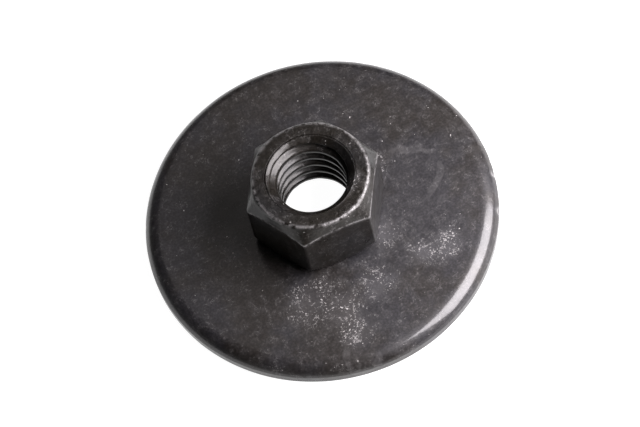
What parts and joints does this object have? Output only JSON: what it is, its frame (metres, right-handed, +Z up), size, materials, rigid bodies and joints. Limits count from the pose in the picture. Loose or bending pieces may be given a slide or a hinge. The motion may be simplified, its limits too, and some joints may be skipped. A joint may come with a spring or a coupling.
{
  "type": "hex nut with captive plate washer",
  "caption": "Hexagon nut on a large round plate washer that it turns in freely; spreads clamping load over thin or soft material.",
  "frame": {"origin": "centre of the plate washer's flat underside, on the thread's axis", "axes": "+Z up the thread from the plate to the nut's open face, +X through one corner of the hexagon, +Y across two flats"},
  "size_m": [0.0412, 0.0412, 0.0115],
  "materials": {
    "plate_steel": "black oxide, oiled and scuffed",
    "nut_steel": "black oxide, oiled and scuffed"
  },
  "bodies": {
    "plate": {"plate_washer": "plate_steel"},
    "nut": {"hex_nut": "nut_steel"}
  },
  "joints": [
    {"name": "nut_spin", "type": "hinge", "parent": "plate", "child": "nut", "pos_m": [0, 0, 0.0023], "axis": [0, 0, 1], "continuous": true}
  ]
}
